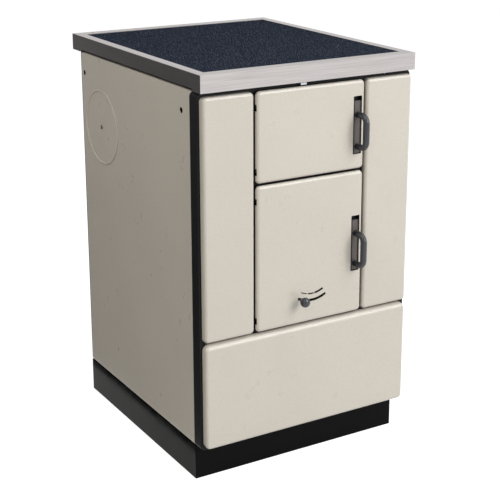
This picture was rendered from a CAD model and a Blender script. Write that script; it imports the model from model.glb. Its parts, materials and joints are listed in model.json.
# A free-standing wood cookstove: an enamelled body on a gloss black plinth, a brushed
# stainless top frame round a glass-ceramic hob, two doors and a wood drawer. Solids are made
# in millimetres: x from the stove's middle, y from the top frame's front edge, z from the
# floor. Each one is then set into the row frame in metres.
import json
import math

import bmesh
import bpy
from mathutils import Matrix, Vector


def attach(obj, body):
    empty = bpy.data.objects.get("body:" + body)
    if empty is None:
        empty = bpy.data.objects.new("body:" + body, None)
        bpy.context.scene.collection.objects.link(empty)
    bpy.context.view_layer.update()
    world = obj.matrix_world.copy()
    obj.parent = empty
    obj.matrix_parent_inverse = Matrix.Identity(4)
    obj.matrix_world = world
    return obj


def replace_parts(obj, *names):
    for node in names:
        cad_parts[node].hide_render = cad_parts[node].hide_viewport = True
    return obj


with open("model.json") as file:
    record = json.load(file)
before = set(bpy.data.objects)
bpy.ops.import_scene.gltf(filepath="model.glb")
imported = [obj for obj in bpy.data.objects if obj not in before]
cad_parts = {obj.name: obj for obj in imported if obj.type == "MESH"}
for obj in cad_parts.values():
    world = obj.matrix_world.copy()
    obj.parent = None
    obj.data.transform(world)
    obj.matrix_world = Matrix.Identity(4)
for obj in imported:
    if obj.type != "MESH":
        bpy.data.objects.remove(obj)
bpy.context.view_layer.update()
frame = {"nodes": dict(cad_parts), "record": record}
nodes = frame["nodes"]
record = frame["record"]
body_of = {n: b for b, names in record["behaviour"]["bodies"].items() for n in names}
slot_of = {part["node"]: part["material_slot"] for part in record["subparts"]}
scene = bpy.context.scene

FRAME_DEPTH = 600
MIDDLE = 283.5  # the footprint's middle, behind the top frame's front edge
TO_ROW = Matrix.Scale(0.001, 4) @ Matrix.Translation((0, -MIDDLE, 0))
FROM_ROW = TO_ROW.inverted()
TO_FRONT = (0, -1, 0)
HEAT_TINTED = {"feed_door_plate", "ash_door_plate", "feed_latch_guide", "ash_latch_guide",
               "air_shutter"}

# ------------------------------------------------------------------ sizes, in millimetres

HALF_FRAME, STOVE_HEIGHT, SEAT = 250, 850, 0.3  # SEAT is the gap between solids that touch
SHEET = 1.5
THROUGH = 1  # how far a cut runs past the sheet
HALF_BODY, BODY_BOTTOM, BODY_REAR = 247, 76.8, 563

SIDE_FRONT, SIDE_TOP, SIDE_FOLD, SIDE_EDGE, SIDE_CORNER = 44.3, 814, 13, 4, 6
SIDE_HOLE, SIDE_HOLE_Z = 12, 769
HOLE_FROM_FRONT, HOLE_FROM_REAR = 40, 16
FLUE_Y, FLUE_Z, COVER_HOLE, COVER = 460, 662, 154, 165
COVER_RISE, COVER_DISH, COVER_BEAD, COVER_BORE = 2.6, 1.6, 4, 2.3
SKIRT_GAP, SKIRT_DEPTH = 0.5, 2
HEAD_STAND, HEAD_SLOT, SHANK, SHANK_END = 1.2, 0.6, 2, 219  # the flue cover's screw
HEAD_DOME = ((0, 1.3), (1.5, 1.25), (3, 1.05), (4, 0.7), (4.5, 0.3), (4.5, 0))  # radius, height

FRONT_FACE, FRONT_SHEET, FLANGE_REAR, FRONT_EDGE, FRONT_CORNER = 15.5, 2.5, 44, 2, 10
SHOULDER, NECK_TOP, NECK_HALF, NECK_LAP = 813, 847.7, 238, 20

PANEL_FACE, PANEL_DEPTH, PANEL_HALF, FIXED_INNER = 1, 14.2, 245, 132
PANEL_RADIUS, PANEL_CORNER, DRAWER_RADIUS = 7, 9, 13
DOOR_HALF, TRAY_DEPTH, TRAY_BACK, DOOR_FLANGE = 127, 11, 12, 22
DOORS = {"feed": (622.5, 806, 32), "ash": (312.5, 617.5, 94)}  # bottom, top, slot's drop
DRAWER = (82, 307.5)
OPENING_LAP, OPENING_HALF, OPENING_CORNER = 16, 111, 4
DRAWER_OPENING = (234, 90, 299.5)  # half width, bottom, top

SLOT_RIGHT, SLOT_WIDTH, SLOT_HEIGHT, SLOT_CORNER = 120, 20.5, 120, 2
LATCH_X, LATCH_FRONT = 112.5, 4.5
TONGUE, TONGUE_CLEARANCE, LATCH_LIFT = (4, 12), 2, 10
HANDLE_BAR, HANDLE_SPACING, HANDLE_BEND, HANDLE_DROP = 13, 66, 15, 39
BAR_Y = -26.5
HINGE_END, HINGE_Y = 28, 7
NOTCH_AHEAD, NOTCH_BELOW, NOTCH_INSET = 3, 11, 5  # the cuts that clear the hinge brackets
WALL_NOTCH_ABOVE, FLANGE_NOTCH_ABOVE = 2.5, 8

PIVOT_X, PIVOT_Z, AIR_RADIUS, AIR_WIDTH, AIR_REST, AIR_END = 4, 428, 69, 6, -26, 27
MARK_RADIUS = 55
MARKS = ((-27, -13, 2.2), (-8, 4, 3.4), (9, 27, 5))  # first angle, last angle, width
KNOB, KNOB_LENGTH, KNOB_BACK, STEM, SHUTTER_FRONT = 20.5, 20, -10, 4.4, 10.5
KNOB_FOOT = ((0, 0.2), (2.4, 0.0), (3.3, 0.35))  # beyond the stem's radius, height
KNOB_SWELL, KNOB_START = 0.82, 0.9  # fullness of the egg's profile, height at which it begins
KNOB_EGG = (0.87, 0.22)  # share of the width at the small end, growth towards the other

SEAL_FRONT, SEAL_REAR, SEAL_INSET, SEAL_CORNER = 14.6, 23.7, 6, 8
SEAL_HALF = (3.95, 4.5)  # half width, half depth
SEAL_STEP, SEAL_LAY = 2.5, 55  # between two rows, along one turn of the strands
SEAL_LIFT = (0.93, 0.07)  # mean radius and height of the strands, as shares of the half sizes

FRAME_SCREW_X, FRAME_SCREW_INSET, FRAME_SCREW_SUNK = 203, 7, 0.2
FRAME_SCREW_HEAD, FRAME_SCREW_UNDER, FRAME_SCREW_END = 4, 848, 834
NUT_RADIUS, NUT = 3.5, (844.6, 847.7)
# A pan head's size is its radius and its height.
FRONT_SCREW_X, FRONT_SCREW_Z, FRONT_HEAD = 184, 810.5, (2.25, 1.9)
FRAME_CROSS, FRONT_CROSS = 4.2, 2.2

REAR_FACE, REAR_TOP = BODY_REAR + SEAT + 2, 838.4
LOUVRE_PITCH, LOUVRES, LOUVRE_FROM_END = 62, 6, 60
REAR_HEAD = (4, 2.2)
REAR_HEADS = [(x, z) for x in (-236, 236) for z in (92, 280, 465, 650, 822)]
REAR_HEADS += [(x, z) for x in (-80, 80) for z in (92, 822)]
CASING_REAR, PIPE_RADIUS, PIPE_WALL = 545, 72, 3
COLLAR_FLANGE, COLLAR_SHEET, COLLAR_ROUND = 16, 4, 0.8

# ------------------------------------------------------------------ solids


def spin(axis, x, y, z):
    """Turns a solid made round +Z so that its +Z looks along an axis, and places it."""
    turn = {
        "x": Matrix.Rotation(math.pi / 2, 4, "Y"),
        "-x": Matrix.Rotation(-math.pi / 2, 4, "Y"),
        "y": Matrix.Rotation(-math.pi / 2, 4, "X"),
        "-y": Matrix.Rotation(math.pi / 2, 4, "X"),
        "z": Matrix.Identity(4),
    }[axis]
    return Matrix.Translation((x, y, z)) @ turn


def skin(rows, closed=False):
    """A closed solid through rows of equal length; its ends are capped, or meet when closed."""
    bm = bmesh.new()
    rings = [[bm.verts.new(p) for p in row] for row in rows]
    count = len(rings[0])
    pairs = list(zip(rings, rings[1:]))
    if closed:
        pairs.append((rings[-1], rings[0]))
    else:
        bm.faces.new(rings[0])
        bm.faces.new(reversed(rings[-1]))
    for a, b in pairs:
        for i in range(count):
            j = (i + 1) % count
            bm.faces.new((a[i], b[i], b[j], a[j]))
    bmesh.ops.recalc_face_normals(bm, faces=bm.faces)
    return bm


def prism(outline, ys):
    """An outline in x and z, made solid between two depths."""
    return skin([[(x, y, z) for x, z in outline] for y in ys])


def block(xs, ys, zs):
    return prism([(xs[0], zs[0]), (xs[1], zs[0]), (xs[1], zs[1]), (xs[0], zs[1])], ys)


def lathe(profile, place, sides=64):
    """A profile of (radius, height) turned round +Z; both ends of the profile lie on the axis."""
    bm = bmesh.new()
    rings = []
    for radius, height in profile:
        if radius == 0:
            rings.append([bm.verts.new((0, 0, height))])
            continue
        turns = (2 * math.pi * i / sides for i in range(sides))
        circle = ((radius * math.cos(a), radius * math.sin(a), height) for a in turns)
        rings.append([bm.verts.new(point) for point in circle])
    for a, b in zip(rings, rings[1:]):
        for i in range(sides):
            j = (i + 1) % sides
            corners = [a[i % len(a)], a[j % len(a)], b[j % len(b)], b[i % len(b)]]
            bm.faces.new(list(dict.fromkeys(corners)))
    bmesh.ops.recalc_face_normals(bm, faces=bm.faces)
    bm.transform(place)
    return bm


def rod(axis, radius, ends, x=0, y=0, z=0, sides=48):
    profile = [(0, ends[0]), (radius, ends[0]), (radius, ends[1]), (0, ends[1])]
    return lathe(profile, spin(axis, x, y, z), sides)


def ring(profile, place, sides=96):
    """A closed profile of (radius, height), turned round +Z."""
    turns = [2 * math.pi * i / sides for i in range(sides)]
    rows = [[(r * math.cos(a), r * math.sin(a), h) for r, h in profile] for a in turns]
    bm = skin(rows, closed=True)
    bm.transform(place)
    return bm


def rounded(xs, zs, radius, steps=6):
    """The outline of a rectangle with rounded corners."""
    middles = ((xs[1] - radius, zs[1] - radius), (xs[0] + radius, zs[1] - radius),
               (xs[0] + radius, zs[0] + radius), (xs[1] - radius, zs[0] + radius))
    points = []
    for quarter, (x, z) in enumerate(middles):
        for i in range(steps + 1):
            a = math.pi / 2 * (quarter + i / steps)
            points.append((x + radius * math.cos(a), z + radius * math.sin(a)))
    return points


def round_pivot(radius, degrees):
    """A point round the air regulator's pivot; angles run from straight down towards +x."""
    a = math.radians(degrees - 90)
    return PIVOT_X + radius * math.cos(a), PIVOT_Z + radius * math.sin(a)


def arc_slot(radius, width, start, end, steps=24, tip=8):
    """The outline of a slot with round ends that runs round the pivot between two angles."""

    def side(radius, start, end):
        return [round_pivot(radius, start + (end - start) * i / steps) for i in range(steps + 1)]

    def cap(angle, turn):
        x, z = round_pivot(radius, angle)
        first = math.radians(angle - 90) + turn
        angles = [first + math.pi * i / tip for i in range(1, tip)]
        return [(x + width / 2 * math.cos(a), z + width / 2 * math.sin(a)) for a in angles]

    outer, inner = side(radius + width / 2, start, end), side(radius - width / 2, end, start)
    return outer + cap(end, 0) + inner + cap(start, math.pi)


def to_object(bm, name):
    mesh = bpy.data.meshes.new(name)
    bm.to_mesh(mesh)
    bm.free()
    obj = bpy.data.objects.new(name, mesh)
    scene.collection.objects.link(obj)
    return obj


def combined(solid, tools, operation):
    """One solid less, or plus, the others; all of them are used up."""
    base = to_object(solid, "base")
    helpers = [to_object(tool, "tool") for tool in tools]
    for helper in helpers:
        step = base.modifiers.new(operation, "BOOLEAN")
        step.object, step.operation, step.solver = helper, operation, "EXACT"
    result = bmesh.new()
    result.from_object(base, bpy.context.evaluated_depsgraph_get())
    for obj in [base, *helpers]:
        mesh = obj.data
        bpy.data.objects.remove(obj)
        bpy.data.meshes.remove(mesh)
    return result


def cut(solid, *tools):
    return combined(solid, tools, "DIFFERENCE")


def join(solid, *more):
    return combined(solid, more, "UNION")


def merged(*solids):
    """Solids that don't touch, kept in one mesh."""
    result = bmesh.new()
    for bm in solids:
        mesh = bpy.data.meshes.new("part")
        bm.to_mesh(mesh)
        bm.free()
        result.from_mesh(mesh)
        bpy.data.meshes.remove(mesh)
    return result


def bevelled(bm, width, segments=2, angle=50):
    """Makes flat neighbours one face, then rounds every edge sharper than an angle."""
    bmesh.ops.remove_doubles(bm, verts=bm.verts, dist=0.005)
    bmesh.ops.dissolve_limit(bm, angle_limit=math.radians(0.5), verts=bm.verts, edges=bm.edges)
    sharp = [e for e in bm.edges if e.is_manifold and e.calc_face_angle() > math.radians(angle)]
    bmesh.ops.bevel(bm, geom=sharp, offset=width, segments=segments, profile=0.5, affect="EDGES",
                    clamp_overlap=True)
    bmesh.ops.dissolve_degenerate(bm, dist=0.004, edges=bm.edges)
    return bm


def mirrored(bm):
    bm.transform(Matrix.Scale(-1, 4, (1, 0, 0)))
    bmesh.ops.reverse_faces(bm, faces=bm.faces)
    return bm


def even_normals(mesh, smooth):
    """Keeps flat regions flat and shades only what curves between them: the normal at a corner is
    the mean of the faces round it that lie within an angle, each weighted by the squared area of
    its whole plane."""
    planes, keys = {}, []
    around = [[] for _ in mesh.vertices]
    for face in mesh.polygons:
        key = (*(round(c, 3) for c in face.normal), round(face.normal.dot(face.center), 5))
        keys.append(key)
        planes[key] = planes.get(key, 0) + face.area
        for vertex in face.vertices:
            around[vertex].append(face.index)
    faces = [(Vector(face.normal), planes[key] ** 2) for face, key in zip(mesh.polygons, keys)]
    limit = math.cos(math.radians(smooth))
    normals = []
    for face in mesh.polygons:
        own = faces[face.index][0]
        for vertex in face.vertices:
            near = (faces[i] for i in around[vertex])
            pulls = (normal * weight for normal, weight in near if normal.dot(own) > limit)
            normals.append(sum(pulls, Vector()).normalized())
    sides = {}
    for face in mesh.polygons:
        loops = list(face.loop_indices)
        for a, b in zip(loops, loops[1:] + loops[:1]):
            ends = {mesh.loops[i].vertex_index: normals[i] for i in (a, b)}
            sides.setdefault(mesh.loops[a].edge_index, []).append(ends)
    mesh.shade_smooth()
    for edge, (ends, *others) in sides.items():
        mesh.edges[edge].use_edge_sharp = any(
            normal.dot(other[vertex]) < 0.9999 for other in others for vertex, normal in ends.items())
    mesh.normals_split_custom_set(normals)


def dressed(name, bm, node, smooth=40):
    """Sets a solid into the row frame with its node's finish, riding on its node's body."""
    bm.transform(TO_ROW)
    obj = to_object(bm, name)
    even_normals(obj.data, smooth)
    obj.data.materials.append(finishes["tinted_zinc" if node in HEAT_TINTED else slot_of[node]])
    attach(obj, body_of[node])
    return obj


def piece(node, bm, smooth=40):
    """A finer solid that is shown in place of a CAD node."""
    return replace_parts(dressed(f"{node}_piece", bm, node, smooth), node)


def back_coated(obj, front, cover=1000):
    """Gives the hidden side of a pressed sheet the enamel's dark ground coat, and with it all that
    lies deeper behind the front than the cover coat reaches, in millimetres."""
    mesh, front = obj.data, Vector(front)
    mesh.materials.append(ground_coat)
    middle = sum((v.co for v in mesh.vertices), Vector()) / len(mesh.vertices)
    face = max(v.co.dot(front) for v in mesh.vertices)
    for part in mesh.polygons:
        behind = face - part.center.dot(front)
        inward = part.normal.dot(front) < -0.3 or part.normal.dot(part.center - middle) < 0
        if behind > 0.9 * SHEET / 1000 and inward or behind > cover / 1000:
            part.material_index = 1


def softened(node, width, segments=2, angle=35):
    """A CAD node's own solid with its sharp edges rounded off."""
    bm = bmesh.new()
    bm.from_mesh(nodes[node].data)
    bm.transform(FROM_ROW @ nodes[node].matrix_world)
    return piece(node, bevelled(bm, width, segments, angle))


# A pressed tray: its outline is drawn in along rounded edges, and the sheet is folded back.


def tray_outline(xs, zs, inset, corner, steps):
    """The tray's outline drawn in by an inset at its sides, top and bottom."""
    side, top, bottom = inset
    x0, x1, z0, z1 = xs[0] + side, xs[1] - side, zs[0] + bottom, zs[1] - top
    radius = max(corner - max(inset), 0.6)
    return rounded((x0, x1), (z0, z1), radius, steps)


def drawn_in(radius, behind):
    """How far a rounded edge is drawn in at a depth behind the face."""
    rise = max(radius - behind, 0)
    return radius - math.sqrt(max(radius * radius - rise * rise, 0))


def edge_rows(xs, zs, face, radii, corner, wall, steps):
    """Outlines from the face back to where the widest rounded edge ends."""
    inner = [max(r - wall, 0.5) for r in radii]
    rows = []
    for i in range(steps + 1):
        behind = max(inner) * (1 - math.cos(math.pi / 2 * i / steps))
        inset = tuple(wall + drawn_in(r, behind) for r in inner)
        rows.append((face + wall + behind, tray_outline(xs, zs, inset, corner, steps)))
    return rows


def tray(xs, zs, face, depth, wall, radii, corner, flange=0, steps=9):
    """Radii are those of the side, top and bottom edges; a flange is folded in behind the wall."""
    back = face + depth

    def level(y, inset):
        return y, tray_outline(xs, zs, (inset,) * 3, corner, steps)

    rows = edge_rows(xs, zs, face, radii, corner, 0, steps) + [level(back, 0)]
    if flange:
        rows += [level(back, flange), level(back - wall, flange), level(back - wall, wall)]
    else:
        rows.append(level(back, wall))
    rows += reversed(edge_rows(xs, zs, face, radii, corner, wall, steps))
    return skin([[(x, y, z) for x, z in outline] for y, outline in rows])


# ------------------------------------------------------------------ finishes


class Finish:
    """A procedural material. Its textures lie in the piece's own space, in metres."""

    def __init__(self, name, metallic=0.0, **sockets):
        self.material = bpy.data.materials.new(name)
        self.material.use_nodes = True
        self.tree = self.material.node_tree
        self.shader = self.tree.nodes["Principled BSDF"]
        self.shader.inputs["Metallic"].default_value = metallic
        for socket, value in sockets.items():
            self.shader.inputs[socket.replace("_", " ")].default_value = value
        self.space = self.add("ShaderNodeTexCoord").outputs["Object"]

    def add(self, kind, inputs=None, **settings):
        node = self.tree.nodes.new(kind)
        for key, value in settings.items():
            setattr(node, key, value)
        for key, value in (inputs or {}).items():
            self.feed(node.inputs[key], value)
        return node

    def feed(self, socket, value):
        if isinstance(value, bpy.types.NodeSocket):
            self.tree.links.new(value, socket)
        else:
            socket.default_value = value

    def stretched(self, x, y, z):
        return self.add("ShaderNodeMapping", {"Vector": self.space, "Scale": (x, y, z)}).outputs[0]

    def noise(self, scale, detail, where=None, distortion=0.0):
        inputs = {"Vector": where or self.space, "Scale": scale, "Detail": detail,
                  "Distortion": distortion}
        return self.add("ShaderNodeTexNoise", inputs).outputs["Fac"]

    def cells(self, scale, where=None):
        inputs = {"Vector": where or self.space, "Scale": scale}
        return self.add("ShaderNodeTexVoronoi", inputs).outputs["Distance"]

    def yarns(self, scale, where):
        """Diagonal bands."""
        inputs = {"Vector": where, "Scale": scale, "Distortion": 1.5}
        return self.add("ShaderNodeTexWave", inputs, bands_direction="DIAGONAL").outputs["Fac"]

    def span(self, value, start, end, low, high):
        """Maps start..end to low..high, clamped."""
        inputs = {0: value, 1: start, 2: end, 3: low, 4: high}
        return self.add("ShaderNodeMapRange", inputs).outputs[0]

    def calc(self, operation, a, b=0.0):
        return self.add("ShaderNodeMath", {0: a, 1: b}, operation=operation).outputs[0]

    def blend(self, share, a, b):
        """A colour between two colours or colour outputs."""
        node = self.add("ShaderNodeMix", data_type="RGBA")
        colors = [socket for socket in node.inputs if socket.type == "RGBA"]
        self.feed(node.inputs[0], share)
        for socket, value in zip(colors, (a, b)):
            self.feed(socket, value if isinstance(value, bpy.types.NodeSocket) else (*value, 1))
        return next(socket for socket in node.outputs if socket.type == "RGBA")

    def color(self, value):
        self.feed(self.shader.inputs["Base Color"], value)

    def roughness(self, value):
        self.feed(self.shader.inputs["Roughness"], value)

    def bump(self, height, distance, under=None):
        """Distance is the relief's full height in millimetres."""
        inputs = {"Height": height, "Distance": distance / 1000, "Strength": 1.0}
        if under:
            inputs["Normal"] = under
        result = self.add("ShaderNodeBump", inputs).outputs[0]
        self.feed(self.shader.inputs["Normal"], result)
        return result

    def edges(self):
        """1 on worn outer edges and corners, 0 on flat and hollow places."""
        sharp = self.add("ShaderNodeNewGeometry").outputs["Pointiness"]
        return self.span(sharp, 0.52, 0.6, 0, 1)


def shade(color, factor):
    return tuple(channel * factor for channel in color)


def enamel(name, color, specular, rough, peel, coat=0.0):
    """Fired enamel: a faint orange peel, a fine grain, and slow waves in the sheet."""
    f = Finish(name, Specular_IOR_Level=specular, Coat_Weight=coat, Coat_Roughness=0.08)
    drift = f.span(f.noise(5, 3), 0.35, 0.65, 0, 1)
    tone = f.blend(drift, shade(color, 0.975), shade(color, 1.02))
    grain = f.span(f.noise(300, 2), 0.3, 0.7, 0, 0.36)
    tone = f.blend(grain, tone, shade(color, 0.8))
    worn = f.calc("MULTIPLY", f.edges(), f.span(f.noise(60, 4), 0.4, 0.7, 0, 0.3))
    f.color(f.blend(worn, tone, shade(color, 0.85)))
    f.roughness(f.span(f.noise(26, 4), 0.3, 0.7, rough - 0.05, rough + 0.07))
    waves = f.bump(f.noise(7, 1), 0.04)
    f.bump(f.noise(330, 2), peel, waves)
    return f.material


def stainless(name):
    """Brushed along each edge of the top frame; the grain turns at the mitred corners."""
    f = Finish(name, metallic=1.0, Anisotropic=0.35)
    split = f.add("ShaderNodeSeparateXYZ", {0: f.space}).outputs
    from_side = f.calc("SUBTRACT", HALF_FRAME / 1000, f.calc("ABSOLUTE", split[0]))
    middle = (FRAME_DEPTH / 2 - MIDDLE) / 1000
    off_middle = f.calc("ABSOLUTE", f.calc("SUBTRACT", split[1], middle))
    from_end = f.calc("SUBTRACT", FRAME_DEPTH / 2000, off_middle)
    on_side = f.calc("LESS_THAN", from_side, from_end)
    off_mitre = f.calc("ABSOLUTE", f.calc("SUBTRACT", from_side, from_end))
    mitre = f.span(off_mitre, 0.0002, 0.0006, 1, 0)
    along_x = f.noise(1, 3, f.stretched(9, 1500, 1500))
    along_y = f.noise(1, 3, f.stretched(1500, 9, 1500))
    grain = f.add("ShaderNodeMix", {0: on_side, 2: along_x, 3: along_y}).outputs[0]
    tone = f.blend(f.span(grain, 0.3, 0.7, 0, 1), (0.34, 0.318, 0.312), (0.48, 0.45, 0.44))
    tone = f.blend(f.span(f.noise(9, 3), 0.4, 0.7, 0, 0.3), tone, (0.4, 0.392, 0.41))
    f.color(f.blend(mitre, tone, (0.25, 0.24, 0.23)))
    f.roughness(f.span(grain, 0.3, 0.7, 0.3, 0.44))
    f.bump(grain, 0.012)
    return f.material


def glass_ceramic(name):
    """Dark glass with pale flecks of two sizes under a smooth face."""
    f = Finish(name, Specular_IOR_Level=0.0)
    ground = f.blend(f.noise(30, 3), (0.009, 0.012, 0.02), (0.014, 0.018, 0.029))
    fine = f.span(f.noise(430, 1), 0.5, 0.68, 0, 0.8)
    ground = f.blend(fine, ground, (0.06, 0.073, 0.105))
    flecks = f.span(f.cells(330), 0.16, 0.3, 0.9, 0)
    f.color(f.blend(flecks, ground, (0.2, 0.22, 0.27)))
    f.roughness(f.span(f.noise(18, 4), 0.3, 0.7, 0.3, 0.42))
    f.bump(f.noise(400, 2), 0.004)
    return f.material


def zinc(name, light=1.0):
    """Bright-dipped sheet with a faint spangle and light scratches; heat darkens it."""
    f = Finish(name, metallic=1.0)
    pale, grey, bright, dull = (shade(color, light) for color in (
        (0.5, 0.51, 0.52), (0.36, 0.37, 0.385), (0.66, 0.67, 0.68), (0.3, 0.3, 0.3)))
    spangle = f.cells(130, f.stretched(1, 1.4, 1))
    tone = f.blend(f.span(spangle, 0.1, 0.8, 0, 1), pale, grey)
    scratch = f.span(f.noise(1, 4, f.stretched(30, 400, 30)), 0.66, 0.7, 0, 0.5)
    tone = f.blend(scratch, tone, bright)
    f.color(f.blend(f.span(f.noise(11, 4), 0.5, 0.75, 0, 0.5), tone, dull))
    f.roughness(f.span(f.noise(70, 4), 0.3, 0.7, 0.34, 0.52))
    f.bump(f.noise(260, 3), 0.02)
    return f.material


def oxide_steel(name, dark, light, rough, metallic=0.85):
    """Blackened or lacquered sheet, rubbed bright on its edges."""
    f = Finish(name, metallic=metallic)
    tone = f.blend(f.span(f.noise(16, 5, distortion=0.6), 0.3, 0.7, 0, 1), dark, light)
    fine = f.span(f.noise(500, 3), 0.4, 0.75, 0, 0.35)
    tone = f.blend(fine, tone, shade(light, 1.5))
    f.color(f.blend(f.calc("MULTIPLY", f.edges(), 0.55), tone, (0.3, 0.29, 0.28)))
    f.roughness(f.span(f.noise(45, 4), 0.3, 0.7, rough - 0.08, rough + 0.1))
    f.bump(f.noise(380, 3), 0.03)
    return f.material


def cast_iron(name):
    """Sand-cast skin: coarse grains over a soft unevenness, greyer on the edges."""
    f = Finish(name, metallic=0.75)
    tone = f.blend(f.noise(40, 5), (0.03, 0.03, 0.031), (0.085, 0.083, 0.08))
    rust = f.span(f.noise(22, 5, distortion=1.0), 0.62, 0.78, 0, 0.35)
    tone = f.blend(rust, tone, (0.16, 0.075, 0.035))
    f.color(f.blend(f.calc("MULTIPLY", f.edges(), 0.6), tone, (0.2, 0.2, 0.2)))
    f.roughness(f.span(f.noise(120, 4), 0.3, 0.7, 0.58, 0.8))
    soft = f.bump(f.noise(90, 2), 0.3)
    f.bump(f.noise(750, 3), 0.22, soft)
    return f.material


def firebrick(name):
    """Buff clay with darker grog, open pores and a little soot."""
    f = Finish(name, Specular_IOR_Level=0.2)
    tone = f.blend(f.noise(28, 5), (0.5, 0.35, 0.21), (0.66, 0.5, 0.33))
    grog = f.span(f.cells(320), 0.16, 0.26, 0.75, 0)
    tone = f.blend(grog, tone, (0.28, 0.17, 0.1))
    f.color(f.blend(f.span(f.noise(7, 4), 0.45, 0.75, 0, 0.6), tone, (0.12, 0.1, 0.085)))
    f.roughness(f.span(f.noise(200, 2), 0.3, 0.7, 0.86, 0.98))
    pores = f.bump(f.span(f.cells(260), 0.05, 0.3, 0, 1), 0.5)
    f.bump(f.noise(600, 3), 0.25, pores)
    return f.material


def glass_rope(name):
    """Knitted glass fibre: two sets of crossing yarns."""
    f = Finish(name, Specular_IOR_Level=0.2, Sheen_Weight=0.15)
    yarn = f.calc("MAXIMUM", f.yarns(110, f.space), f.yarns(110, f.stretched(-1, 1, 1)))
    tone = f.blend(yarn, (0.4, 0.38, 0.34), (0.72, 0.7, 0.64))
    f.color(f.blend(f.span(f.noise(20, 4), 0.45, 0.75, 0, 0.4), tone, (0.35, 0.33, 0.29)))
    f.roughness(f.span(f.noise(300, 2), 0.3, 0.7, 0.85, 1))
    f.bump(yarn, 0.5)
    return f.material


def moulded(name, color, specular, rough):
    """Moulded thermoset or nylon: a fine even grain, polished a little by the hand."""
    f = Finish(name, Specular_IOR_Level=specular)
    tone = f.blend(f.noise(34, 4), shade(color, 0.85), shade(color, 1.15))
    f.color(f.blend(f.span(f.noise(1300, 2), 0.6, 0.75, 0, 0.35), tone, shade(color, 2)))
    f.roughness(f.span(f.noise(30, 4), 0.3, 0.7, rough - 0.07, rough + 0.08))
    f.bump(f.noise(900, 2), 0.018)
    return f.material


finishes = {
    "cream_enamel": enamel("cream_enamel", (0.632, 0.585, 0.512), 0.4, 0.32, 0.003, 0.25),
    "black_enamel": enamel("black_enamel", (0.018, 0.018, 0.02), 0.1, 0.38, 0.01),
    "gloss_black_enamel": enamel("gloss_black_enamel", (0.005, 0.005, 0.005), 0.04, 0.14, 0.004),
    "brushed_stainless": stainless("brushed_stainless"),
    "glass_ceramic": glass_ceramic("glass_ceramic"),
    "zinc_sheet": zinc("zinc_sheet"),
    "tinted_zinc": zinc("tinted_zinc", 0.12),
    "dark_steel": oxide_steel("dark_steel", (0.05, 0.048, 0.047), (0.11, 0.105, 0.1), 0.5),
    "latch_steel": oxide_steel("latch_steel", (0.022, 0.014, 0.011), (0.04, 0.025, 0.019), 0.45, 0.1),
    "cast_iron": cast_iron("cast_iron"),
    "firebrick": firebrick("firebrick"),
    "glass_rope": glass_rope("glass_rope"),
    "handle_grip": moulded("handle_grip", (0.026, 0.028, 0.035), 0.5, 0.22),
    "black_plastic": moulded("black_plastic", (0.02, 0.02, 0.02), 0.3, 0.45),
}

ground_coat = enamel("ground_coat", (0.012, 0.012, 0.014), 0.1, 0.4, 0.01)

# ------------------------------------------------------------------ enamelled body


def side_panel():
    """Made as a tray that faces -Y, then turned so that its face looks at +X."""
    shell = tray((SIDE_FRONT, BODY_REAR), (BODY_BOTTOM, SIDE_TOP), -HALF_BODY, SIDE_FOLD, SHEET,
                 (SIDE_EDGE,) * 3, SIDE_CORNER)
    depth = (-HALF_BODY - THROUGH, -HALF_BODY + SIDE_FOLD)
    holes = [rod("y", SIDE_HOLE / 2, depth, at, 0, SIDE_HOLE_Z)
             for at in (SIDE_FRONT + HOLE_FROM_FRONT, BODY_REAR - HOLE_FROM_REAR)]
    holes.append(rod("y", COVER_HOLE / 2, depth, FLUE_Y, 0, FLUE_Z, 96))
    bm = bevelled(cut(shell, *holes), 0.4)
    bm.transform(Matrix.Rotation(math.pi / 2, 4, "Z"))
    return bm


def flue_cover():
    """A dished disc with a rolled rim and a skirt inside the panel's hole."""
    rim, neck = COVER / 2, COVER_HOLE / 2 - SKIRT_GAP
    face, back = COVER_RISE - COVER_DISH, -SHEET - SKIRT_DEPTH
    turns = [math.pi * i / 12 for i in range(13)]
    crown = [(rim - COVER_BEAD / 2 * (1 + math.cos(a)), face + (COVER_RISE - face) * math.sin(a))
             for a in turns]
    profile = [(COVER_BORE, face), (rim - COVER_BEAD - 1, face), *crown, (rim, SEAT), (neck, SEAT),
               (neck, back), (neck - SHEET, back), (neck - SHEET, SEAT), (COVER_BORE, SEAT)]
    return ring(profile, spin("x", HALF_BODY, FLUE_Y, FLUE_Z), 128)


def cover_screw():
    """A low domed head with a slot, on the screw that pulls the cover in."""
    start = HALF_BODY + SEAT + HEAD_STAND
    dome = [(radius, start + height) for radius, height in HEAD_DOME]
    profile = [*dome, (SHANK, start), (SHANK, SHANK_END), (0, SHANK_END)]
    head = lathe(profile, spin("x", 0, FLUE_Y, FLUE_Z), 40)
    slot = block((start + HEAD_SLOT, start + 3), (FLUE_Y - 5, FLUE_Y + 5),
                 (FLUE_Z - HEAD_SLOT, FLUE_Z + HEAD_SLOT))
    return cut(head, slot)


def front_panel():
    shell = tray((FIXED_INNER, PANEL_HALF), (DOORS["ash"][0], DOORS["feed"][1]), PANEL_FACE,
                 PANEL_DEPTH, SHEET, (PANEL_RADIUS,) * 3, PANEL_CORNER)
    return bevelled(shell, 0.3)


def drawer_front():
    shell = tray((-PANEL_HALF, PANEL_HALF), DRAWER, PANEL_FACE, PANEL_DEPTH, SHEET,
                 (PANEL_RADIUS, DRAWER_RADIUS, PANEL_RADIUS), DRAWER_RADIUS + 1, steps=12)
    return bevelled(shell, 0.3)


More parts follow.
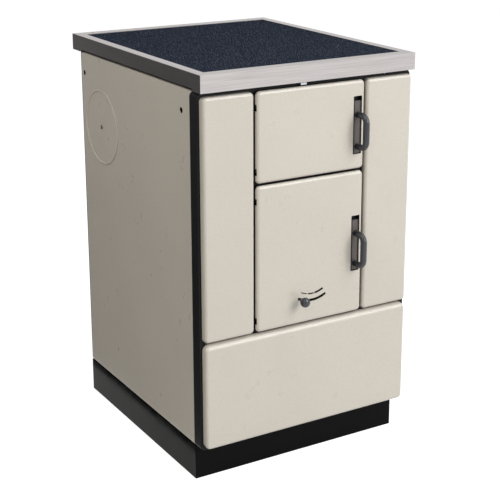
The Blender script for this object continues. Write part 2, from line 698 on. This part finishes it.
SIDES = {"right": (lambda bm: bm, (1, 0, 0)), "left": (mirrored, (-1, 0, 0))}
for side, (turn, outward) in SIDES.items():
    back_coated(piece(f"side_panel_{side}", turn(side_panel())), outward)
    piece(f"flue_cover_{side}", turn(flue_cover()), 30)
    piece(f"cover_screw_{side}", turn(cover_screw()))
    back_coated(piece(f"front_panel_{side}", turn(front_panel())), TO_FRONT)


def front_frame():
    """A sheet with side flanges only, a neck at its top, and openings for doors and drawer."""
    back = FRONT_FACE + FRONT_SHEET
    shell = tray((-HALF_FRAME, HALF_FRAME), (BODY_BOTTOM, SHOULDER), FRONT_FACE,
                 FLANGE_REAR - FRONT_FACE, FRONT_SHEET, (FRONT_EDGE,) * 3, FRONT_CORNER)
    ends = block((-NECK_HALF, NECK_HALF), (back + 0.01, FLANGE_REAR + THROUGH),
                 (BODY_BOTTOM - THROUGH, SHOULDER + THROUGH))
    neck = block((-NECK_HALF, NECK_HALF), (FRONT_FACE, back), (SHOULDER - NECK_LAP, NECK_TOP))
    openings = [(OPENING_HALF, bottom + OPENING_LAP, top - OPENING_LAP)
                for bottom, top, _ in DOORS.values()]
    depth = (FRONT_FACE - THROUGH, back + THROUGH)
    tools = [prism(rounded((-half, half), (bottom, top), OPENING_CORNER), depth)
             for half, bottom, top in (*openings, DRAWER_OPENING)]
    tools += [tongue_slot(door, depth) for door in DOORS]
    return cut(join(cut(shell, ends), neck), *tools)


def tongue_slot(door, ys):
    """The cut that lets a latch's tongue through a sheet, over its whole lift."""
    _, top, drop = DOORS[door]
    middle = top - drop - SLOT_HEIGHT / 2 - LATCH_LIFT / 2
    half = TONGUE[0] / 2 + TONGUE_CLEARANCE
    low = middle - TONGUE[1] / 2 - TONGUE_CLEARANCE
    high = middle + TONGUE[1] / 2 + LATCH_LIFT + TONGUE_CLEARANCE
    return block((LATCH_X - half, LATCH_X + half), ys, (low, high))


piece("front_frame", bevelled(front_frame(), 0.4))
back_coated(piece("drawer_front", drawer_front()), TO_FRONT)

# ------------------------------------------------------------------ doors


def door_tray(door, outlines=()):
    """The door's pressed panel, with its slot and any further outlines cut through its face."""
    bottom, top, drop = DOORS[door]
    shell = tray((-DOOR_HALF, DOOR_HALF), (bottom, top), PANEL_FACE, TRAY_DEPTH, SHEET,
                 (PANEL_RADIUS,) * 3, PANEL_CORNER, DOOR_FLANGE)
    high = top - drop
    slot = rounded((SLOT_RIGHT - SLOT_WIDTH, SLOT_RIGHT), (high - SLOT_HEIGHT, high), SLOT_CORNER)
    face = (PANEL_FACE - THROUGH, PANEL_FACE + SHEET + THROUGH)
    back = TRAY_BACK + THROUGH
    wall = (-DOOR_HALF - THROUGH, -DOOR_HALF + NOTCH_INSET)
    flange = (wall[0], -DOOR_HALF + DOOR_FLANGE + THROUGH)
    tools = [prism(slot, face), tongue_slot(door, (TRAY_BACK - 3, back))]
    for z in (bottom + HINGE_END, top - HINGE_END):
        low = z - NOTCH_BELOW
        tools.append(block(wall, (HINGE_Y - NOTCH_AHEAD, back), (low, z + WALL_NOTCH_ABOVE)))
        tools.append(block(flange, (TRAY_BACK - SHEET - 0.2, back), (low, z + FLANGE_NOTCH_ABOVE)))
    tools += [prism(outline, face) for outline in outlines]
    return bevelled(cut(shell, *tools), 0.4)


def air_outlines():
    """The air knob's slot, and inside it three marks that grow with the opening."""
    marks = [arc_slot(MARK_RADIUS, width, start, end, 12) for start, end, width in MARKS]
    return [arc_slot(AIR_RADIUS, AIR_WIDTH, -AIR_END, AIR_END), *marks]


def swept(path, radius, sides=28):
    """A round bar along points in the plane of y and z at the latch's x."""
    rows = []
    for i, (y, z) in enumerate(path):
        y0, z0 = path[max(i - 1, 0)]
        y1, z1 = path[min(i + 1, len(path) - 1)]
        along = Vector((0, y1 - y0, z1 - z0)).normalized()
        across = Vector((1, 0, 0)).cross(along)
        middle = Vector((LATCH_X, y, z))
        turns = (2 * math.pi * k / sides for k in range(sides))
        spokes = (Vector((math.cos(a), 0, 0)) + math.sin(a) * across for a in turns)
        rows.append([middle + radius * spoke for spoke in spokes])
    return skin(rows)


def handle(door):
    """A round bar bent to a C, its two ends on the latch plate."""
    _, top, drop = DOORS[door]
    high = top - drop - HANDLE_DROP
    low = high - HANDLE_SPACING
    root, bend = LATCH_FRONT - SEAT, BAR_Y + HANDLE_BEND
    quarter = [math.pi / 2 * i / 14 for i in range(15)]
    path = [(root, high), (root - 1, high)]
    for turn in quarter:
        path.append((bend - HANDLE_BEND * math.sin(turn), high - HANDLE_BEND * (1 - math.cos(turn))))
    for turn in quarter:
        path.append((bend - HANDLE_BEND * math.cos(turn), low + HANDLE_BEND * (1 - math.sin(turn))))
    path += [(root - 1, low), (root, low)]
    return bevelled(swept(path, HANDLE_BAR / 2), 0.5)


def rope_seal(door, sides=24, strands=5):
    """A twisted rope laid round the opening, pressed to its gap."""
    bottom, top, _ = DOORS[door]
    y = (SEAL_FRONT + SEAL_REAR) / 2
    half_width, half_depth = SEAL_HALF
    half, lap = OPENING_HALF - SEAL_INSET, OPENING_LAP + SEAL_INSET
    outline = rounded((-half, half), (bottom + lap, top - lap), SEAL_CORNER, 8)
    path = []
    for (x0, z0), (x1, z1) in zip(outline, outline[1:] + outline[:1]):
        steps = max(1, round(math.dist((x0, z0), (x1, z1)) / SEAL_STEP))
        path += [(x0 + (x1 - x0) * i / steps, z0 + (z1 - z0) * i / steps) for i in range(steps)]
    twist = 2 * math.pi * round(len(path) * SEAL_STEP / SEAL_LAY)
    rows = []
    for i, (x, z) in enumerate(path):
        (xa, za), (xb, zb) = path[i - 1], path[(i + 1) % len(path)]
        along = Vector((xb - xa, 0, zb - za)).normalized()
        across = Vector((-along.z, 0, along.x))
        row = []
        for k in range(sides):
            a = 2 * math.pi * k / sides
            lift = SEAL_LIFT[0] + SEAL_LIFT[1] * math.cos(strands * a + twist * i / len(path))
            out = half_width * math.cos(a) * across + Vector((0, half_depth * math.sin(a), 0))
            row.append(Vector((x, y, z)) + lift * out)
        rows.append(row)
    return skin(rows, closed=True)


DOOR_EDGES = {"latch_plate": 0.8, "latch_guide": 0.2, "door_plate": 0.4, "door_liner": 0.9,
              "hinge_lower": 0.3, "hinge_upper": 0.3}
for door, outlines in (("feed", ()), ("ash", air_outlines())):
    panel = piece(f"{door}_door_panel", door_tray(door, outlines))
    back_coated(panel, TO_FRONT, PANEL_RADIUS + 1)
    piece(f"{door}_handle", handle(door))
    piece(f"{door}_door_seal", rope_seal(door), 60)
    for name, width in DOOR_EDGES.items():
        softened(f"{door}_{name}", width)


def air_knob():
    """An egg turned on a stem that passes through the slot."""
    x, z = round_pivot(AIR_RADIUS, AIR_REST)
    small, swell = KNOB_EGG
    egg = []
    for i in range(25):
        a = math.pi * i / 24
        along = (1 - math.cos(a)) / 2
        radius = KNOB / 2 * math.sin(a) ** KNOB_SWELL * (small + swell * along)
        egg.append((radius if radius > 0.01 else 0, KNOB_LENGTH * along))
    widest = max(radius for radius, _ in egg)
    egg = [(radius * KNOB / 2 / widest, height) for radius, height in egg if height > KNOB_START]
    end = KNOB_BACK - SHUTTER_FRONT + SEAT
    foot = [(STEM / 2 + beyond, height) for beyond, height in KNOB_FOOT]
    return lathe([(0, end), (STEM / 2, end), *foot, *egg], spin("-y", x, KNOB_BACK, z), 56)


piece("air_knob", air_knob(), 50)
softened("air_shutter", 0.3)
softened("air_rivet", 0.3)

# ------------------------------------------------------------------ top, plinth and fixings

softened("top_frame", 0.8, 3)
softened("hob_glass", 0.7, 3)
softened("plinth", 0.9, 3)
softened("front_clip", 0.6, 3)


def cross(x, y, z, size, axis):
    """The two blades of a cross recess in a screw's head; it opens towards +z, or towards -y."""
    long, short, deep = size, size * 0.28, size * 0.9
    blades = []
    for a, b in ((long, short), (short, long)):
        if axis == "z":
            blades.append(block((x - a / 2, x + a / 2), (y - b / 2, y + b / 2), (z - deep, z + 1)))
        else:
            blades.append(block((x - a / 2, x + a / 2), (y - 1, y + deep), (z - b / 2, z + b / 2)))
    return blades


def frame_screw():
    """A countersunk screw in the frame's rear rim, with its nut."""
    x, y, top = FRAME_SCREW_X, FRAME_DEPTH - FRAME_SCREW_INSET, STOVE_HEIGHT - FRAME_SCREW_SUNK
    profile = [(0, top), (FRAME_SCREW_HEAD - 0.3, top), (FRAME_SCREW_HEAD, top - 0.25),
               (SHANK, FRAME_SCREW_UNDER), (SHANK, FRAME_SCREW_END), (0, FRAME_SCREW_END)]
    screw = lathe(profile, spin("z", x, y, 0), 40)
    nut = rod("z", NUT_RADIUS, NUT, x, y, 0, 6)
    return cut(join(screw, nut), *cross(x, y, top, FRAME_CROSS, "z"))


for side, (turn, _) in SIDES.items():
    piece(f"frame_screw_{side}", turn(frame_screw()))


def pan_head(x, y, z, radius, height, axis):
    """A low round head whose top looks along an axis; y is where it sits."""
    turns = (math.pi / 2 * i / 8 for i in range(8))
    dome = [(radius * math.cos(a), height * math.sin(a)) for a in turns]
    return lathe([(0, 0), *dome, (0, height)], spin(axis, x, y, z), 32)


start = FRONT_FACE - SEAT
head = pan_head(FRONT_SCREW_X, start, FRONT_SCREW_Z, *FRONT_HEAD, "-y")
recess = cross(FRONT_SCREW_X, start - FRONT_HEAD[1], FRONT_SCREW_Z, FRONT_CROSS, "y")
piece("front_screw", cut(head, *recess))

# ------------------------------------------------------------------ rear


def louvre_hood(x, z, half_width=25, half_height=6.5, lift=4.5, steps=12):
    """A pressed hood over a louvre, open along its lower edge."""
    turns = [math.pi * i / steps for i in range(steps + 1)]
    outer = [(x + half_width * math.cos(a), math.sin(a)) for a in turns]
    inner = [(x + (half_width - 1) * math.cos(a), math.sin(a)) for a in reversed(turns)]
    rows = []
    for k in range(7):
        t = k / 6
        rise = lift * math.cos(math.pi / 2 * t)
        height = z - half_height + 2 * half_height * t
        row = [(px, REAR_FACE + rise * s ** 0.5, height) for px, s in outer]
        row += [(px, REAR_FACE + max(rise - 1, 0.01) * s ** 0.5 * 0.99, height) for px, s in inner]
        rows.append(row)
    return skin(rows)


hoods = [louvre_hood((i - (LOUVRES - 1) / 2) * LOUVRE_PITCH, z)
         for z in (BODY_BOTTOM + LOUVRE_FROM_END, REAR_TOP - LOUVRE_FROM_END) for i in range(LOUVRES)]
heads = [pan_head(x, REAR_FACE, z, *REAR_HEAD, "y") for x, z in REAR_HEADS]
softened("rear_panel", 0.4)
dressed("rear_louvre_hoods", merged(*hoods), "rear_panel", 50)
dressed("rear_screws", merged(*heads), "rear_panel")


def flue_collar():
    """A short pipe on a flange that lies on the casing's rear; a fillet joins the two."""
    pipe, edge = PIPE_RADIUS + PIPE_WALL, COLLAR_ROUND
    flange = pipe + COLLAR_FLANGE
    start = CASING_REAR + SEAT
    top, end = start + COLLAR_SHEET, FRAME_DEPTH - edge
    profile = [
        (PIPE_RADIUS, start), (flange - edge, start), (flange, start + edge), (flange, top - edge),
        (flange - edge, top), (pipe + 3, top), (pipe + 0.9, top + 0.9), (pipe, top + 3), (pipe, end),
        (pipe - edge, FRAME_DEPTH), (PIPE_RADIUS + edge, FRAME_DEPTH), (PIPE_RADIUS, end),
    ]
    return ring(profile, spin("y", 0, 0, FLUE_Z))


piece("flue_collar", flue_collar(), 35)

# ------------------------------------------------------------------ inside

INSIDE_EDGES = {"floor_tray": 0.4, "hob_tape": 0.5, "casing": 0.7, "shelf": 0.4, "bed_plate": 0.8,
                "grate": 0.7, "rear_brick": 1.5, "front_brick": 1.5, "ash_pan": 0.3, "drawer_box": 0.4}
PAIR_EDGES = {"side_brick": 1.5, "flue_blank": 0.4, "drawer_rail": 0.3, "rail_roller": 0.4,
              "box_roller": 0.4}
for node, width in INSIDE_EDGES.items():
    softened(node, width)
for name, width in PAIR_EDGES.items():
    for side in SIDES:
        softened(f"{name}_{side}", width)

# ------------------------------------------------------------------ camera, floor and light

lens = bpy.data.cameras.new("camera")
camera = bpy.data.objects.new("camera", lens)
scene.collection.objects.link(camera)
scene.camera = camera
IMAGE, SENSOR = 500, 36  # pixels, millimetres
CAMERA, YAW, PITCH = (-1.33966, -2.31014, 1.27916), 0.5422, 0.2751  # metres, radians
FOCAL, AIM = 1260.36, (260.8, 190.0)  # pixels; where the camera's axis meets the image
ahead = Vector((math.sin(YAW) * math.cos(PITCH), math.cos(YAW) * math.cos(PITCH), -math.sin(PITCH)))
camera.location = CAMERA
camera.rotation_mode = "QUATERNION"
camera.rotation_quaternion = ahead.to_track_quat("-Z", "Y")
lens.lens = FOCAL * SENSOR / IMAGE
lens.shift_x = (IMAGE / 2 - AIM[0]) / IMAGE
lens.shift_y = (AIM[1] - IMAGE / 2) / IMAGE


def bare_tree(owner, *kinds):
    """A material's or the world's node tree, emptied, with new nodes of some kinds."""
    owner.use_nodes = True
    owner.node_tree.nodes.clear()
    return owner.node_tree, *(owner.node_tree.nodes.new(f"ShaderNode{kind}") for kind in kinds)


def seen_directly(tree):
    """1 for camera, glossy and transmission rays."""
    path = tree.nodes.new("ShaderNodeLightPath").outputs
    total = path["Is Camera Ray"]
    for name in ("Is Glossy Ray", "Is Transmission Ray"):
        node = tree.nodes.new("ShaderNodeMath")
        node.operation, node.use_clamp = "ADD", True
        tree.links.new(total, node.inputs[0])
        tree.links.new(path[name], node.inputs[1])
        total = node.outputs[0]
    return total


# The world and the floor are white to be looked at, and dimmer as light on the stove.
SKY, FLOOR_COLOR, FLOOR_GLOW, FLOOR_RADIUS = 0.3, 0.6, 0.82, 30

world = bpy.data.worlds.new("studio")
scene.world = world
tree, soft, white, either, out = bare_tree(world, "Background", "Background", "MixShader",
                                           "OutputWorld")
for light, strength in ((soft, SKY), (white, 1)):
    light.inputs["Color"].default_value = (1, 1, 1, 1)
    light.inputs["Strength"].default_value = strength
tree.links.new(seen_directly(tree), either.inputs[0])
tree.links.new(soft.outputs[0], either.inputs[1])
tree.links.new(white.outputs[0], either.inputs[2])
tree.links.new(either.outputs[0], out.inputs[0])

bm = bmesh.new()
bmesh.ops.create_circle(bm, cap_ends=True, segments=96, radius=FLOOR_RADIUS)
floor = to_object(bm, "floor")
paint = bpy.data.materials.new("floor")
tree, matt, glow, power, whole, out = bare_tree(paint, "BsdfDiffuse", "Emission", "Math", "AddShader",
                                                "OutputMaterial")
matt.inputs["Color"].default_value = (FLOOR_COLOR,) * 3 + (1,)
power.operation = "MULTIPLY"
power.inputs[1].default_value = FLOOR_GLOW
tree.links.new(seen_directly(tree), power.inputs[0])
tree.links.new(power.outputs[0], glow.inputs["Strength"])
tree.links.new(matt.outputs[0], whole.inputs[0])
tree.links.new(glow.outputs[0], whole.inputs[1])
tree.links.new(whole.outputs[0], out.inputs[0])
floor.data.materials.append(paint)


def softbox(name, place, aim, size, power, color=(1, 1, 1)):
    """A round area lamp; place, aim and size in metres, power in watts."""
    data = bpy.data.lights.new(name, "AREA")
    data.shape, data.size, data.energy, data.color = "DISK", size, power, color
    obj = bpy.data.objects.new(name, data)
    scene.collection.objects.link(obj)
    obj.location = place
    obj.rotation_mode = "QUATERNION"
    obj.rotation_quaternion = (Vector(aim) - Vector(place)).to_track_quat("-Z", "Y")


# A dark card, L-shaped from the front, lies and stands to the left of the stove. Only
# reflections see it.
CARD_INNER, CARD_OUTER, CARD_LOW, CARD_HIGH, CARD_YS = -300, -750, 2, 1500, (-100, 2800)
corner = [(CARD_INNER, CARD_LOW), (CARD_INNER, CARD_LOW + 2), (CARD_OUTER + 5, CARD_LOW + 2),
          (CARD_OUTER + 5, CARD_HIGH), (CARD_OUTER, CARD_HIGH), (CARD_OUTER, CARD_LOW)]
card = to_object(prism(corner, CARD_YS), "dark_card")
card.data.transform(TO_ROW)
card.data.materials.append(finishes["black_plastic"])
for ray in ("camera", "diffuse", "transmission", "volume_scatter", "shadow"):
    setattr(card, f"visible_{ray}", False)

softbox("key", (1.9, -3.6, 2.4), (0, -0.1, 0.45), 2.8, 122)
softbox("left", (-1.7, -0.7, 2.7), (0, 0, 0.6), 2.2, 28, (1, 0.955, 0.87))
softbox("top", (1.3, -1.0, 2.9), (0, -0.2, 0.7), 1.3, 22, (0.84, 0.92, 1))

scene.view_settings.view_transform = "Standard"
